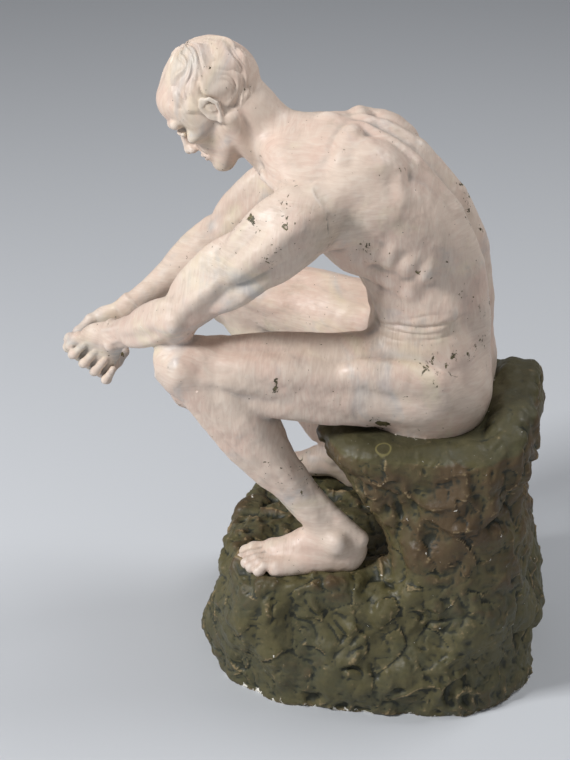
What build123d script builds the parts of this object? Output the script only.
from build123d import *

import os
from math import cos, exp, pi, radians, sin

# A plaster statue: a seated figure deep in thought, forearms on the thighs and hands clasped, on a rough rock.
# It is cast in sections that meet in fitted joints, pinned with iron dowels and clamped to the hollow rock.
# Front is -Y, the figure's left is +X and up is +Z. Every form is lofted in flat facets, from section to section.

# Driving sizes, in millimetres
STATURE = 560.0  # the figure's height if it stood up
BASE_LENGTH = 214.0  # rock, front to back
BASE_WIDTH = 186.0  # rock, side to side
LEDGE_HEIGHT = 76.0  # the ledge under the right foot
STEP_RISE = 8.0  # the left foot stands this much higher

# Rock casting
ROCK_WALL = 13.0  # shell of the hollow rock
SEAT_ROOF = 17.0  # plaster over the hollow, under the seat
SEAT_BED = 7.0  # how deep the figure is bedded in the rock
SOLE_BED = 1.5  # how deep the feet are bedded in the ledge
OVERRUN = 40.0  # how far the hollow's cutting tool runs past the underside

# Iron work
ROD_DIAMETER = 8.0
ROD_ABOVE_SEAT = 50.0
ROD_BELOW_NUT = 4.0
NUT_ACROSS_FLATS = 13.0
NUT_THICKNESS = 6.5
PLATE_SIDE = 30.0
PLATE_THICKNESS = 2.5
ANCHOR_ACROSS_FLATS = 22.0
ANCHOR_THICKNESS = 9.0
ANCHOR_BELOW_ROD_END = 5.0
THICK_DOWEL = 6.0
THICK_DOWEL_LENGTH = 40.0
THIN_DOWEL = 4.0
THIN_DOWEL_LENGTH = 26.0
HEEL_PIN_LENGTH = 36.0
PLASTER_GAP = 0.15  # bedding gap round every iron piece

# The seat plane: the hips are cast flat here and rest on the rock
SEAT_ABOVE_SOLE_SHARE = 0.171
SEAT_Z = LEDGE_HEIGHT + SEAT_ABOVE_SOLE_SHARE * STATURE

# Facets round each form
TRUNK_SIDES = 24
LIMB_SIDES = 12
HEAD_SIDES = 20
FINGER_SIDES = 6
ROCK_SIDES = 18

# Places on the figure, as shares of the stature: x to the figure's left, y to its back, z above the seat
HIP_SHARE = (0.055, 0.065, 0.057)
KNEE_SHARE = (0.110, -0.170, 0.082)
SHOULDER_SHARE = (0.112, -0.051, 0.257)
ELBOW_SHARE = (0.116, -0.182, 0.139)
WRIST_SHARE = (0.034, -0.272, 0.074)
NECK_ROOT_SHARE = (0.0, -0.0725, 0.288)
SKULL_BASE_SHARE = (0.0, -0.126, 0.3265)
HEAD_CENTRE_SHARE = (0.0, -0.158, 0.342)
ACROMION_SHARE = (0.094, -0.043, 0.275)
NAPE_SHARE = (0.012, -0.091, 0.308)
BLADE_TOP_SHARE = (0.050, 0.000, 0.317)
BLADE_FOOT_SHARE = (0.053, 0.056, 0.289)
LAT_TOP_SHARE = (0.086, 0.030, 0.262)
LAT_FOOT_SHARE = (0.068, 0.098, 0.180)
CLASP_CENTRE_SHARE = (0.0, -0.297, 0.0425)
LAP_SHARE = (0.0, 0.010, 0.062)
LEFT_ANKLE_SHARE = (0.103, -0.012)
RIGHT_ANKLE_SHARE = (-0.107, -0.032)
ANKLE_HEIGHT_SHARE = 0.040
WAIST_SHARE = 0.125
WAIST_BACK_SHARE = 0.077
ROD_BACK_SHARE = 0.088
WAIST_DOWEL_SPREAD_SHARE = 0.045
SHOULDER_JOINT_SHARE = 0.086  # out from the middle
HEAD_HEIGHT_SHARE = 0.127
HEAD_BOW = 44.0  # degrees that the head is bowed
NECK_LEAN = 68.0  # degrees that the base of the neck leans forward
CLASP_DROOP = 52.0  # degrees that the clasped hands point below the level
TOE_OUT = 11.0  # degrees

# Limbs: place along the limb, half width and half depth
THIGH_SHARES = (
    (-0.12, 0.050, 0.046),
    (0.10, 0.056, 0.053),
    (0.35, 0.053, 0.052),
    (0.62, 0.045, 0.044),
    (0.86, 0.037, 0.037),
    (1.00, 0.036, 0.037),
    (1.10, 0.030, 0.030),
    (1.15, 0.014, 0.014),
)
UPPER_ARM_SHARES = (
    (-0.22, 0.014, 0.016),
    (-0.14, 0.029, 0.032),
    (0.04, 0.039, 0.043),
    (0.24, 0.039, 0.042),
    (0.50, 0.033, 0.038),
    (0.75, 0.027, 0.031),
    (0.94, 0.022, 0.023),
    (1.10, 0.014, 0.014),
)
FOREARM_SHARES = (
    (-0.12, 0.014, 0.014),
    (0.12, 0.027, 0.026),
    (0.32, 0.028, 0.025),
    (0.62, 0.022, 0.019),
    (0.88, 0.017, 0.013),
    (1.00, 0.017, 0.012),
)
NECK_SHARES = (
    (-0.25, 0.040, 0.040),
    (0.25, 0.036, 0.038),
    (1.00, 0.034, 0.037),
    (1.45, 0.024, 0.028),
)
TRAPEZIUS_SHARES = (
    (-0.10, 0.018, 0.018),
    (0.30, 0.025, 0.025),
    (0.80, 0.019, 0.022),
    (1.10, 0.010, 0.012),
)
BLADE_SHARES = (
    (-0.30, 0.008, 0.006),
    (0.10, 0.024, 0.014),
    (0.60, 0.027, 0.015),
    (1.25, 0.008, 0.006),
)
LAT_SHARES = (
    (-0.15, 0.010, 0.010),
    (0.25, 0.019, 0.022),
    (0.70, 0.017, 0.020),
    (1.15, 0.008, 0.009),
)
# Shin: place down it, set back, half width and half depth
SHIN_SHARES = (
    (-0.06, 0.002, 0.026, 0.026),
    (0.06, 0.002, 0.032, 0.033),
    (0.28, 0.010, 0.034, 0.038),
    (0.50, 0.008, 0.029, 0.032),
    (0.74, 0.003, 0.020, 0.022),
    (0.93, 0.002, 0.018, 0.020),
    (1.06, 0.003, 0.019, 0.022),
)
# Foot: place ahead of the ankle, half width and height over the sole
FOOT_SHARES = (
    (-0.038, 0.012, 0.022),
    (-0.026, 0.020, 0.040),
    (0.010, 0.021, 0.050),
    (0.042, 0.025, 0.036),
    (0.072, 0.029, 0.024),
    (0.094, 0.028, 0.017),
    (0.106, 0.019, 0.013),
)
# Trunk: height over the seat, set back, lean as a share of the neck's, half width, half depth, back furrow
PELVIS_SHARES = (
    (0.000, 0.076, 0.0, 0.095, 0.068, 0.03),
    (0.030, 0.078, 0.0, 0.100, 0.073, 0.05),
    (0.062, 0.077, 0.0, 0.097, 0.074, 0.07),
    (0.095, 0.077, 0.0, 0.089, 0.070, 0.08),
    (WAIST_SHARE, WAIST_BACK_SHARE, 0.0, 0.085, 0.067, 0.09),
)
TORSO_SHARES = (
    (WAIST_SHARE, WAIST_BACK_SHARE, 0.0, 0.085, 0.067, 0.09),
    (0.169, 0.0695, 0.29, 0.086, 0.067, 0.09),
    (0.210, 0.049, 0.52, 0.094, 0.071, 0.09),
    (0.2455, 0.0175, 0.72, 0.102, 0.073, 0.08),
    (0.2745, -0.0215, 0.88, 0.104, 0.065, 0.06),
    (0.291, -0.058, 0.98, 0.076, 0.046, 0.04),
    (0.300, -0.080, 1.00, 0.046, 0.034, 0.0),
)
FURROW_SPREAD = 0.30  # radians either side of the spine
# Cloth that lies in the lap: ahead of the lap's centre, height, half width and half thickness
LAP_CLOTH_SHARES = (
    (-0.040, 0.012, 0.030, 0.016),
    (0.000, 0.000, 0.026, 0.018),
    (0.030, -0.016, 0.022, 0.014),
    (0.044, -0.038, 0.018, 0.008),
)
# Head: height, set back, half width and half depth, as shares of the head's height
HEAD_SHARES = (
    (-0.50, -0.250, 0.070, 0.060),
    (-0.43, -0.190, 0.185, 0.175),
    (-0.28, -0.120, 0.262, 0.290),
    (-0.10, -0.045, 0.305, 0.380),
    (0.06, 0.000, 0.328, 0.420),
    (0.22, 0.015, 0.332, 0.425),
    (0.36, 0.030, 0.290, 0.365),
    (0.45, 0.040, 0.200, 0.250),
    (0.50, 0.045, 0.060, 0.080),
)
# Nose: height, how far forward, half width and half depth
NOSE_SHARES = (
    (0.06, -0.400, 0.020, 0.020),
    (-0.06, -0.420, 0.035, 0.050),
    (-0.16, -0.430, 0.050, 0.075),
    (-0.20, -0.400, 0.045, 0.050),
)
# Ear: height, set back, out from the middle, half width and half depth
EAR_SHARES = (
    (-0.16, 0.02, 0.300, 0.020, 0.030),
    (-0.08, 0.04, 0.320, 0.028, 0.055),
    (0.04, 0.06, 0.335, 0.028, 0.080),
    (0.10, 0.06, 0.325, 0.018, 0.050),
)
# Palm: ahead of the clasp's centre, out from the middle, half thickness and half breadth
PALM_SHARES = (
    (-0.040, 0.0330, 0.0120, 0.0165),
    (-0.020, 0.0260, 0.0110, 0.0210),
    (0.002, 0.0195, 0.0095, 0.0260),
    (0.018, 0.0160, 0.0070, 0.0265),
)
# Finger: out from the middle, ahead of the clasp's centre, half thickness
FINGER_SHARES = (
    (0.0160, 0.0130, 0.0044),
    (0.0060, 0.0230, 0.0048),
    (-0.0100, 0.0255, 0.0045),
    (-0.0245, 0.0195, 0.0042),
    (-0.0300, 0.0080, 0.0034),
)
FINGER_PITCH_SHARE = 0.0160
FINGER_STAGGER_SHARE = 0.0040
# Thumb: out from the middle, ahead, up from the clasp's centre, half thickness
THUMB_SHARES = (
    (0.030, -0.024, 0.014, 0.0075),
    (0.018, -0.004, 0.027, 0.0068),
    (0.005, 0.010, 0.031, 0.0058),
    (-0.006, 0.020, 0.031, 0.0042),
)
# Rock: height as a share of the seat's, front and back edges as shares of the base's length,
# and half width as a share of the base's half width
COLUMN_SHARES = (
    (0.00, -0.36, 0.57, 0.97),
    (0.20, -0.28, 0.56, 0.95),
    (0.38, 0.00, 0.54, 0.90),
    (0.50, 0.10, 0.53, 0.86),
    (0.68, 0.08, 0.51, 0.82),
    (0.87, -0.05, 0.50, 0.80),
    (1.00, -0.12, 0.52, 0.82),
)
SEAT_RIM_SHARES = (-0.09, 0.485, 0.74)
MOUND_SHARES = (
    (0.00, -0.42, 0.30, 0.97),
    (0.14, -0.43, 0.30, 0.98),
    (0.32, -0.41, 0.29, 0.96),
)
MOUND_TOP_SHARES = (-0.37, 0.26, 0.92)
STEP_SHARES = (
    (0.00, -0.35, 0.16, 0.58),
    (0.40, -0.35, 0.16, 0.60),
)
STEP_TOP_SHARES = (-0.33, 0.14, 0.56)
STEP_OUT_SHARE = 0.36
LIP_SHARES = (
    (0.92, 0.38, 0.53, 0.66),
    (1.07, 0.40, 0.53, 0.60),
    (1.12, 0.42, 0.51, 0.42),
)
HOLLOW_SHARES = (
    (0.00, -0.41, 0.57, 0.97),
    (0.15, -0.37, 0.56, 0.95),
    (0.26, -0.25, 0.54, 0.92),
    (0.36, 0.00, 0.53, 0.89),
    (0.48, 0.12, 0.52, 0.86),
    (0.64, 0.10, 0.50, 0.82),
)
HOLLOW_TOP_SHARES = (0.04, 0.49, 0.76)
# Waves that roughen the rock: how far they stand out, turns round it, turns up it, and phase
ROCK_WAVES = ((0.030, 3, 1.1, 0.4), (0.024, 5, -1.7, 2.1), (0.018, 4, 2.9, 4.4))


def figure_point(share, side=1):
    """A point on the figure, from shares of the stature; side is 1 for the left and -1 for the right."""
    x_share, y_share, z_share = share
    return Vector(side * x_share * STATURE, y_share * STATURE, SEAT_Z + z_share * STATURE)


def sole_height(side):
    """The ledge under the left foot is a step higher than under the right."""
    return LEDGE_HEIGHT + STEP_RISE if side > 0 else LEDGE_HEIGHT


def ankle_point(side):
    x_share, y_share = LEFT_ANKLE_SHARE if side > 0 else RIGHT_ANKLE_SHARE
    return Vector(x_share * STATURE, y_share * STATURE, sole_height(side) + ANKLE_HEIGHT_SHARE * STATURE)


def ring(place, half_width, half_depth, sides, furrow=0.0):
    """Points round an ellipse in a plane. A furrow draws in the points near the plane's +y side."""
    points = []
    for number in range(sides):
        angle = 2 * pi * number / sides
        from_back = (angle - pi / 2 + pi) % (2 * pi) - pi
        draw_in = 1 - furrow * exp(-((from_back / FURROW_SPREAD) ** 2))
        local = Vector(half_width * cos(angle) * draw_in, half_depth * sin(angle) * draw_in, 0)
        points.append(place.from_local_coords(local))
    return points


def flat_face(corners):
    return Face(Wire.make_polygon(corners, close=True))


def facet_loft(rings):
    """A solid with flat triangular facets from ring to ring, and the first and last rings as its ends."""
    faces = [flat_face(rings[0]), flat_face(rings[-1])]
    for low, high in zip(rings, rings[1:]):
        for number in range(len(low)):
            after = (number + 1) % len(low)
            faces.append(flat_face([low[number], low[after], high[after]]))
            faces.append(flat_face([low[number], high[after], high[number]]))
    return Solid(Shell(faces))


def limb(start, end, section_shares, sides=LIMB_SIDES):
    """A limb: ellipses square to the line from start to end."""
    axis = end - start
    across = Vector(1, 0, 0) - axis.normalized() * axis.normalized().X
    rings = []
    for along_share, width_share, depth_share in section_shares:
        place = Plane(origin=start + axis * along_share, x_dir=across, z_dir=axis)
        rings.append(ring(place, width_share * STATURE, depth_share * STATURE, sides))
    return facet_loft(rings)


def trunk(section_shares):
    """The trunk: sections that lean further forward as the spine curls."""
    rings = []
    for z_share, back_share, lean_share, width_share, depth_share, furrow in section_shares:
        lean = radians(NECK_LEAN * lean_share)
        centre = figure_point((0, back_share, z_share))
        place = Plane(origin=centre, x_dir=(1, 0, 0), z_dir=(0, -sin(lean), cos(lean)))
        rings.append(ring(place, width_share * STATURE, depth_share * STATURE, TRUNK_SIDES, furrow))
    return facet_loft(rings)


def lap_cloth():
    """A plain fold of cloth that lies in the lap and falls over the front of the seat."""
    lap = figure_point(LAP_SHARE)
    rings = []
    for ahead_share, up_share, width_share, thick_share in LAP_CLOTH_SHARES:
        centre = lap + Vector(0, -ahead_share * STATURE, up_share * STATURE)
        place = Plane(origin=centre, x_dir=(1, 0, 0), z_dir=(0, -1, 0))
        rings.append(ring(place, width_share * STATURE, thick_share * STATURE, LIMB_SIDES))
    return facet_loft(rings)


def shin_form(side):
    """The lower leg, with the calf set back behind the shin's line."""
    knee = figure_point(KNEE_SHARE, side)
    axis = ankle_point(side) - knee
    rings = []
    for along_share, back_share, width_share, depth_share in SHIN_SHARES:
        centre = knee + axis * along_share + Vector(0, back_share * STATURE, 0)
        place = Plane(origin=centre, x_dir=(1, 0, 0), z_dir=axis)
        rings.append(ring(place, width_share * STATURE, depth_share * STATURE, LIMB_SIDES))
    return facet_loft(rings)


def foot_form(side):
    """A bare foot: upright half-round sections along the toe line, each flat on the sole."""
    ankle = ankle_point(side)
    turn = radians(TOE_OUT)
    ahead = Vector(side * sin(turn), -cos(turn), 0)
    under_ankle = Vector(ankle.X, ankle.Y, sole_height(side))
    rings = []
    for ahead_share, width_share, height_share in FOOT_SHARES:
        centre = under_ankle + ahead * (ahead_share * STATURE)
        place = Plane(origin=centre, x_dir=Vector(0, 0, 1).cross(ahead), z_dir=ahead)
        half_round = []
        for number in range(LIMB_SIDES):
            angle = pi * number / (LIMB_SIDES - 1)
            across = width_share * STATURE * cos(angle)
            half_round.append(place.from_local_coords(Vector(across, height_share * STATURE * sin(angle), 0)))
        rings.append(half_round)
    return facet_loft(rings)


def head_ring(x_share, y_share, z_share, width_share, depth_share, sides):
    """An ellipse in the head's own frame: +z to the crown and -y out of the face."""
    bow = radians(HEAD_BOW)
    head_height = HEAD_HEIGHT_SHARE * STATURE
    frame = Plane(origin=figure_point(HEAD_CENTRE_SHARE), x_dir=(1, 0, 0), z_dir=(0, -sin(bow), cos(bow)))
    centre = frame.from_local_coords(Vector(x_share, y_share, z_share) * head_height)
    place = Plane(origin=centre, x_dir=frame.x_dir, z_dir=frame.z_dir)
    return ring(place, width_share * head_height, depth_share * head_height, sides)


def head_form(section_shares, sides):
    return facet_loft([head_ring(0, y, z, width, depth, sides) for z, y, width, depth in section_shares])


def ear_form(side):
    rings = [head_ring(side * x, y, z, width, depth, FINGER_SIDES) for z, y, x, width, depth in EAR_SHARES]
    return facet_loft(rings)


def clasp_point(out, ahead, up):
    """A point by the clasped hands: out to the figure's left, ahead along the hands, up to the thumbs."""
    droop = radians(CLASP_DROOP)
    forward = Vector(0, -cos(droop), -sin(droop))
    thumbward = Vector(0, -sin(droop), cos(droop))
    return figure_point(CLASP_CENTRE_SHARE) + Vector(out, 0, 0) + forward * ahead + thumbward * up


def tube(points, radii):
    """A jointed tube, mitred at each bend, as a finger is."""
    droop = radians(CLASP_DROOP)
    thumbward = Vector(0, -sin(droop), cos(droop))
    rings = []
    for number, (point, radius) in enumerate(zip(points, radii)):
        before = points[max(number - 1, 0)]
        after = points[min(number + 1, len(points) - 1)]
        along = (after - before).normalized()
        place = Plane(origin=point, x_dir=thumbward - along * along.dot(thumbward), z_dir=along)
        rings.append(ring(place, radius, radius, FINGER_SIDES))
    return facet_loft(rings)


def palm_form(side):
    droop = radians(CLASP_DROOP)
    rings = []
    for ahead_share, out_share, thick_share, broad_share in PALM_SHARES:
        centre = clasp_point(side * out_share * STATURE, ahead_share * STATURE, 0)
        place = Plane(origin=centre, x_dir=(1, 0, 0), z_dir=(0, -cos(droop), -sin(droop)))
        rings.append(ring(place, thick_share * STATURE, broad_share * STATURE, LIMB_SIDES))
    return facet_loft(rings)


def finger_form(side, number):
    """Finger 0 is the index. The two hands' fingers are staggered, so that they lace."""
    up = ((1.5 - number) * FINGER_PITCH_SHARE + side * FINGER_STAGGER_SHARE) * STATURE
    points = [clasp_point(side * out * STATURE, ahead * STATURE, up) for out, ahead, thick in FINGER_SHARES]
    return tube(points, [thick * STATURE for out, ahead, thick in FINGER_SHARES])


def thumb_form(side):
    stagger = side * FINGER_STAGGER_SHARE
    points = []
    for out, ahead, up, thick in THUMB_SHARES:
        points.append(clasp_point(side * out * STATURE, (ahead + stagger) * STATURE, up * STATURE))
    return tube(points, [thick * STATURE for out, ahead, up, thick in THUMB_SHARES])


def rock_ring(z, edge_shares, out_share=0.0, inset=0.0):
    """A squared oval round the rock at height z, moved in by the inset and roughened by waves."""
    front_share, back_share, width_share = edge_shares
    front = front_share * BASE_LENGTH + inset
    back = back_share * BASE_LENGTH - inset
    half_width = width_share * BASE_WIDTH / 2 - inset
    points = []
    for number in range(ROCK_SIDES):
        angle = 2 * pi * number / ROCK_SIDES
        rough = 1.0
        for wave_share, turns, rises, phase in ROCK_WAVES:
            rough += wave_share * sin(turns * angle + rises * 2 * pi * z / SEAT_Z + phase)
        square = rough / (abs(cos(angle)) ** 3 + abs(sin(angle)) ** 3) ** (1 / 3)
        x = out_share * BASE_WIDTH / 2 + half_width * cos(angle) * square
        y = (front + back) / 2 + (back - front) / 2 * sin(angle) * square
        points.append(Vector(x, y, z))
    return points


def rock_rings(section_shares, out_share=0.0, inset=0.0):
    return [rock_ring(z_share * SEAT_Z, edge_shares, out_share, inset) for z_share, *edge_shares in section_shares]


def pin_hole(place, diameter, length):
    """The hole for a pin that is centred on a joint, along the joint's z."""
    start = place.offset(-length / 2)
    return Solid.make_cylinder(diameter / 2 + PLASTER_GAP, length, start)


# Where the iron goes: each plane's z runs along its pin
rod_foot = Vector(0, ROD_BACK_SHARE * STATURE, SEAT_Z - SEAT_ROOF - PLATE_THICKNESS - NUT_THICKNESS - ROD_BELOW_NUT)
rod_length = SEAT_Z + ROD_ABOVE_SEAT - rod_foot.Z
plate_place = Plane(origin=(0, rod_foot.Y, SEAT_Z - SEAT_ROOF - PLATE_THICKNESS))
nut_place = plate_place.offset(-NUT_THICKNESS)
anchor_place = Plane(origin=rod_foot).offset(rod_length - ANCHOR_BELOW_ROD_END - ANCHOR_THICKNESS)
neck_axis = figure_point(SKULL_BASE_SHARE) - figure_point(NECK_ROOT_SHARE)
neck_joint = Plane(origin=figure_point(NECK_ROOT_SHARE), z_dir=neck_axis)
pin_places = {}
for side, name in ((1, "left"), (-1, "right")):
    waist_share = (WAIST_DOWEL_SPREAD_SHARE, WAIST_BACK_SHARE, WAIST_SHARE)
    shoulder_share = (SHOULDER_JOINT_SHARE, *SHOULDER_SHARE[1:])
    wrist = figure_point(WRIST_SHARE, side)
    forearm_axis = wrist - figure_point(ELBOW_SHARE, side)
    knee = figure_point(KNEE_SHARE, side)
    shin_axis = ankle_point(side) - knee
    knee_joint = knee + shin_axis.normalized() * (THIGH_SHARES[5][2] * STATURE)
    ankle = ankle_point(side)
    pin_places[name + "_waist"] = Plane(origin=figure_point(waist_share, side))
    pin_places[name + "_shoulder"] = Plane(origin=figure_point(shoulder_share, side), z_dir=(side, 0, 0))
    pin_places[name + "_wrist"] = Plane(origin=wrist, z_dir=forearm_axis)
    pin_places[name + "_knee"] = Plane(origin=knee_joint, z_dir=shin_axis)
    pin_places[name + "_heel"] = Plane(origin=(ankle.X, ankle.Y, sole_height(side)))

statue = {}

with BuildPart(Plane(origin=rod_foot)) as tie_rod:
    Cylinder(ROD_DIAMETER / 2, rod_length, align=(Align.CENTER, Align.CENTER, Align.MIN))
statue["tie_rod"] = tie_rod.part

with BuildPart() as clamp_plate:
    with BuildSketch(plate_place):
        Rectangle(PLATE_SIDE, PLATE_SIDE)
        Circle(ROD_DIAMETER / 2 + PLASTER_GAP, mode=Mode.SUBTRACT)
    extrude(amount=PLATE_THICKNESS)
statue["clamp_plate"] = clamp_plate.part

with BuildPart() as clamp_nut:
    with BuildSketch(nut_place):
        RegularPolygon(NUT_ACROSS_FLATS / 2, 6, major_radius=False)
        Circle(ROD_DIAMETER / 2 + PLASTER_GAP, mode=Mode.SUBTRACT)
    extrude(amount=NUT_THICKNESS)
statue["clamp_nut"] = clamp_nut.part

with BuildPart() as anchor_nut:
    with BuildSketch(anchor_place):
        RegularPolygon(ANCHOR_ACROSS_FLATS / 2, 6, major_radius=False)
        Circle(ROD_DIAMETER / 2 + PLASTER_GAP, mode=Mode.SUBTRACT)
    extrude(amount=ANCHOR_THICKNESS)
statue["anchor_nut"] = anchor_nut.part

with BuildPart(neck_joint) as neck_dowel:
    Cylinder(THICK_DOWEL / 2, THICK_DOWEL_LENGTH)
statue["neck_dowel"] = neck_dowel.part

for name, place in pin_places.items():
    thin = name.endswith("wrist")
    length = HEEL_PIN_LENGTH if name.endswith("heel") else THICK_DOWEL_LENGTH
    with BuildPart(place) as dowel:
        Cylinder((THIN_DOWEL if thin else THICK_DOWEL) / 2, THIN_DOWEL_LENGTH if thin else length)
    statue[name + "_dowel"] = dowel.part

# Hips and thighs, cast in one with the seat flat and the cloth in the lap
with BuildPart() as hips:
    add(trunk(PELVIS_SHARES))
    for side in (1, -1):
        add(limb(figure_point(HIP_SHARE, side), figure_point(KNEE_SHARE, side), THIGH_SHARES))
    add(lap_cloth())
    split(bisect_by=Plane(origin=(0, 0, SEAT_Z)), keep=Keep.TOP)
    add(pin_hole(Plane(origin=rod_foot).offset(rod_length / 2), ROD_DIAMETER, rod_length), mode=Mode.SUBTRACT)
    with BuildSketch(anchor_place):
        RegularPolygon(ANCHOR_ACROSS_FLATS / 2, 6, major_radius=False)
    extrude(amount=ANCHOR_THICKNESS, mode=Mode.SUBTRACT)
    for name in ("left_waist", "right_waist", "left_knee", "right_knee"):
        add(pin_hole(pin_places[name], THICK_DOWEL, THICK_DOWEL_LENGTH), mode=Mode.SUBTRACT)

# Arms, from the rounded head that seats in the torso to the wrist
for side, name in ((1, "left"), (-1, "right")):
    shoulder = figure_point(SHOULDER_SHARE, side)
    elbow = figure_point(ELBOW_SHARE, side)
    with BuildPart() as arm:
        add(limb(shoulder, elbow, UPPER_ARM_SHARES))
        add(limb(elbow, figure_point(WRIST_SHARE, side), FOREARM_SHARES))
        add(hips.part, mode=Mode.SUBTRACT)
        add(pin_hole(pin_places[name + "_shoulder"], THICK_DOWEL, THICK_DOWEL_LENGTH), mode=Mode.SUBTRACT)
        add(pin_hole(pin_places[name + "_wrist"], THIN_DOWEL, THIN_DOWEL_LENGTH), mode=Mode.SUBTRACT)
    statue[name + "_arm"] = arm.part

# Head and neck, whose root seats in the torso
with BuildPart() as head:
    add(limb(figure_point(NECK_ROOT_SHARE), figure_point(SKULL_BASE_SHARE), NECK_SHARES))
    add(head_form(HEAD_SHARES, HEAD_SIDES))
    add(head_form(NOSE_SHARES, FINGER_SIDES))
    for side in (1, -1):
        add(ear_form(side))
    add(pin_hole(neck_joint, THICK_DOWEL, THICK_DOWEL_LENGTH), mode=Mode.SUBTRACT)

with BuildPart() as torso:
    add(trunk(TORSO_SHARES))
    for side in (1, -1):
        add(limb(figure_point(NAPE_SHARE, side), figure_point(ACROMION_SHARE, side), TRAPEZIUS_SHARES))
        add(limb(figure_point(BLADE_TOP_SHARE, side), figure_point(BLADE_FOOT_SHARE, side), BLADE_SHARES, FINGER_SIDES))
        add(limb(figure_point(LAT_TOP_SHARE, side), figure_point(LAT_FOOT_SHARE, side), LAT_SHARES, FINGER_SIDES))
    for neighbour in (head.part, statue["left_arm"], statue["right_arm"]):
        add(neighbour, mode=Mode.SUBTRACT)
    for name in ("left_waist", "right_waist", "left_shoulder", "right_shoulder"):
        add(pin_hole(pin_places[name], THICK_DOWEL, THICK_DOWEL_LENGTH), mode=Mode.SUBTRACT)
    add(pin_hole(neck_joint, THICK_DOWEL, THICK_DOWEL_LENGTH), mode=Mode.SUBTRACT)

# Both hands in one casting, with the fingers laced
with BuildPart() as clasped_hands:
    for side in (1, -1):
        add(palm_form(side))
        add(thumb_form(side))
        for number in range(4):
            add(finger_form(side, number))
    for name in ("left", "right"):
        add(statue[name + "_arm"], mode=Mode.SUBTRACT)
        add(pin_hole(pin_places[name + "_wrist"], THIN_DOWEL, THIN_DOWEL_LENGTH), mode=Mode.SUBTRACT)

for side, name in ((1, "left"), (-1, "right")):
    with BuildPart() as leg:
        add(shin_form(side))
        add(foot_form(side))
        add(hips.part, mode=Mode.SUBTRACT)
        add(pin_hole(pin_places[name + "_knee"], THICK_DOWEL, THICK_DOWEL_LENGTH), mode=Mode.SUBTRACT)
        add(pin_hole(pin_places[name + "_heel"], THICK_DOWEL, HEEL_PIN_LENGTH), mode=Mode.SUBTRACT)
    statue[name + "_leg"] = leg.part

# The rock: a hollow shell, open underneath, with the figure's print in its seat and ledge
with BuildPart() as rock_base:
    seat_rim = rock_ring(SEAT_Z + SEAT_BED, SEAT_RIM_SHARES)
    add(facet_loft(rock_rings(COLUMN_SHARES) + [seat_rim]))
    mound_top = rock_ring(LEDGE_HEIGHT + SOLE_BED, MOUND_TOP_SHARES)
    add(facet_loft(rock_rings(MOUND_SHARES) + [mound_top]))
    step_top = rock_ring(LEDGE_HEIGHT + STEP_RISE + SOLE_BED, STEP_TOP_SHARES, STEP_OUT_SHARE)
    add(facet_loft(rock_rings(STEP_SHARES, STEP_OUT_SHARE) + [step_top]))
    add(facet_loft(rock_rings(LIP_SHARES)))
    below = rock_ring(-OVERRUN, HOLLOW_SHARES[0][1:], inset=ROCK_WALL)
    hollow_top = rock_ring(SEAT_Z - SEAT_ROOF, HOLLOW_TOP_SHARES, inset=ROCK_WALL)
    hollow = facet_loft([below] + rock_rings(HOLLOW_SHARES, inset=ROCK_WALL) + [hollow_top])
    add(hollow, mode=Mode.SUBTRACT)
    for neighbour in (hips.part, statue["left_leg"], statue["right_leg"]):
        add(neighbour, mode=Mode.SUBTRACT)
    add(pin_hole(Plane(origin=rod_foot).offset(rod_length / 2), ROD_DIAMETER, rod_length), mode=Mode.SUBTRACT)
    for name in ("left_heel", "right_heel"):
        add(pin_hole(pin_places[name], THICK_DOWEL, HEEL_PIN_LENGTH), mode=Mode.SUBTRACT)

statue["hips"] = hips.part
statue["torso"] = torso.part
statue["head"] = head.part
statue["clasped_hands"] = clasped_hands.part
statue["rock_base"] = rock_base.part

# The origin is on the ground under the middle of the whole statue
whole = Compound(list(statue.values())).bounding_box()
to_origin = Location((-whole.center().X, -whole.center().Y, 0))
os.makedirs("parts", exist_ok=True)
for name, casting in statue.items():
    placed = casting.moved(to_origin)
    placed.label = name
    export_step(placed, f"parts/{name}.step")
print("moved by", to_origin.position, "size", whole.size)
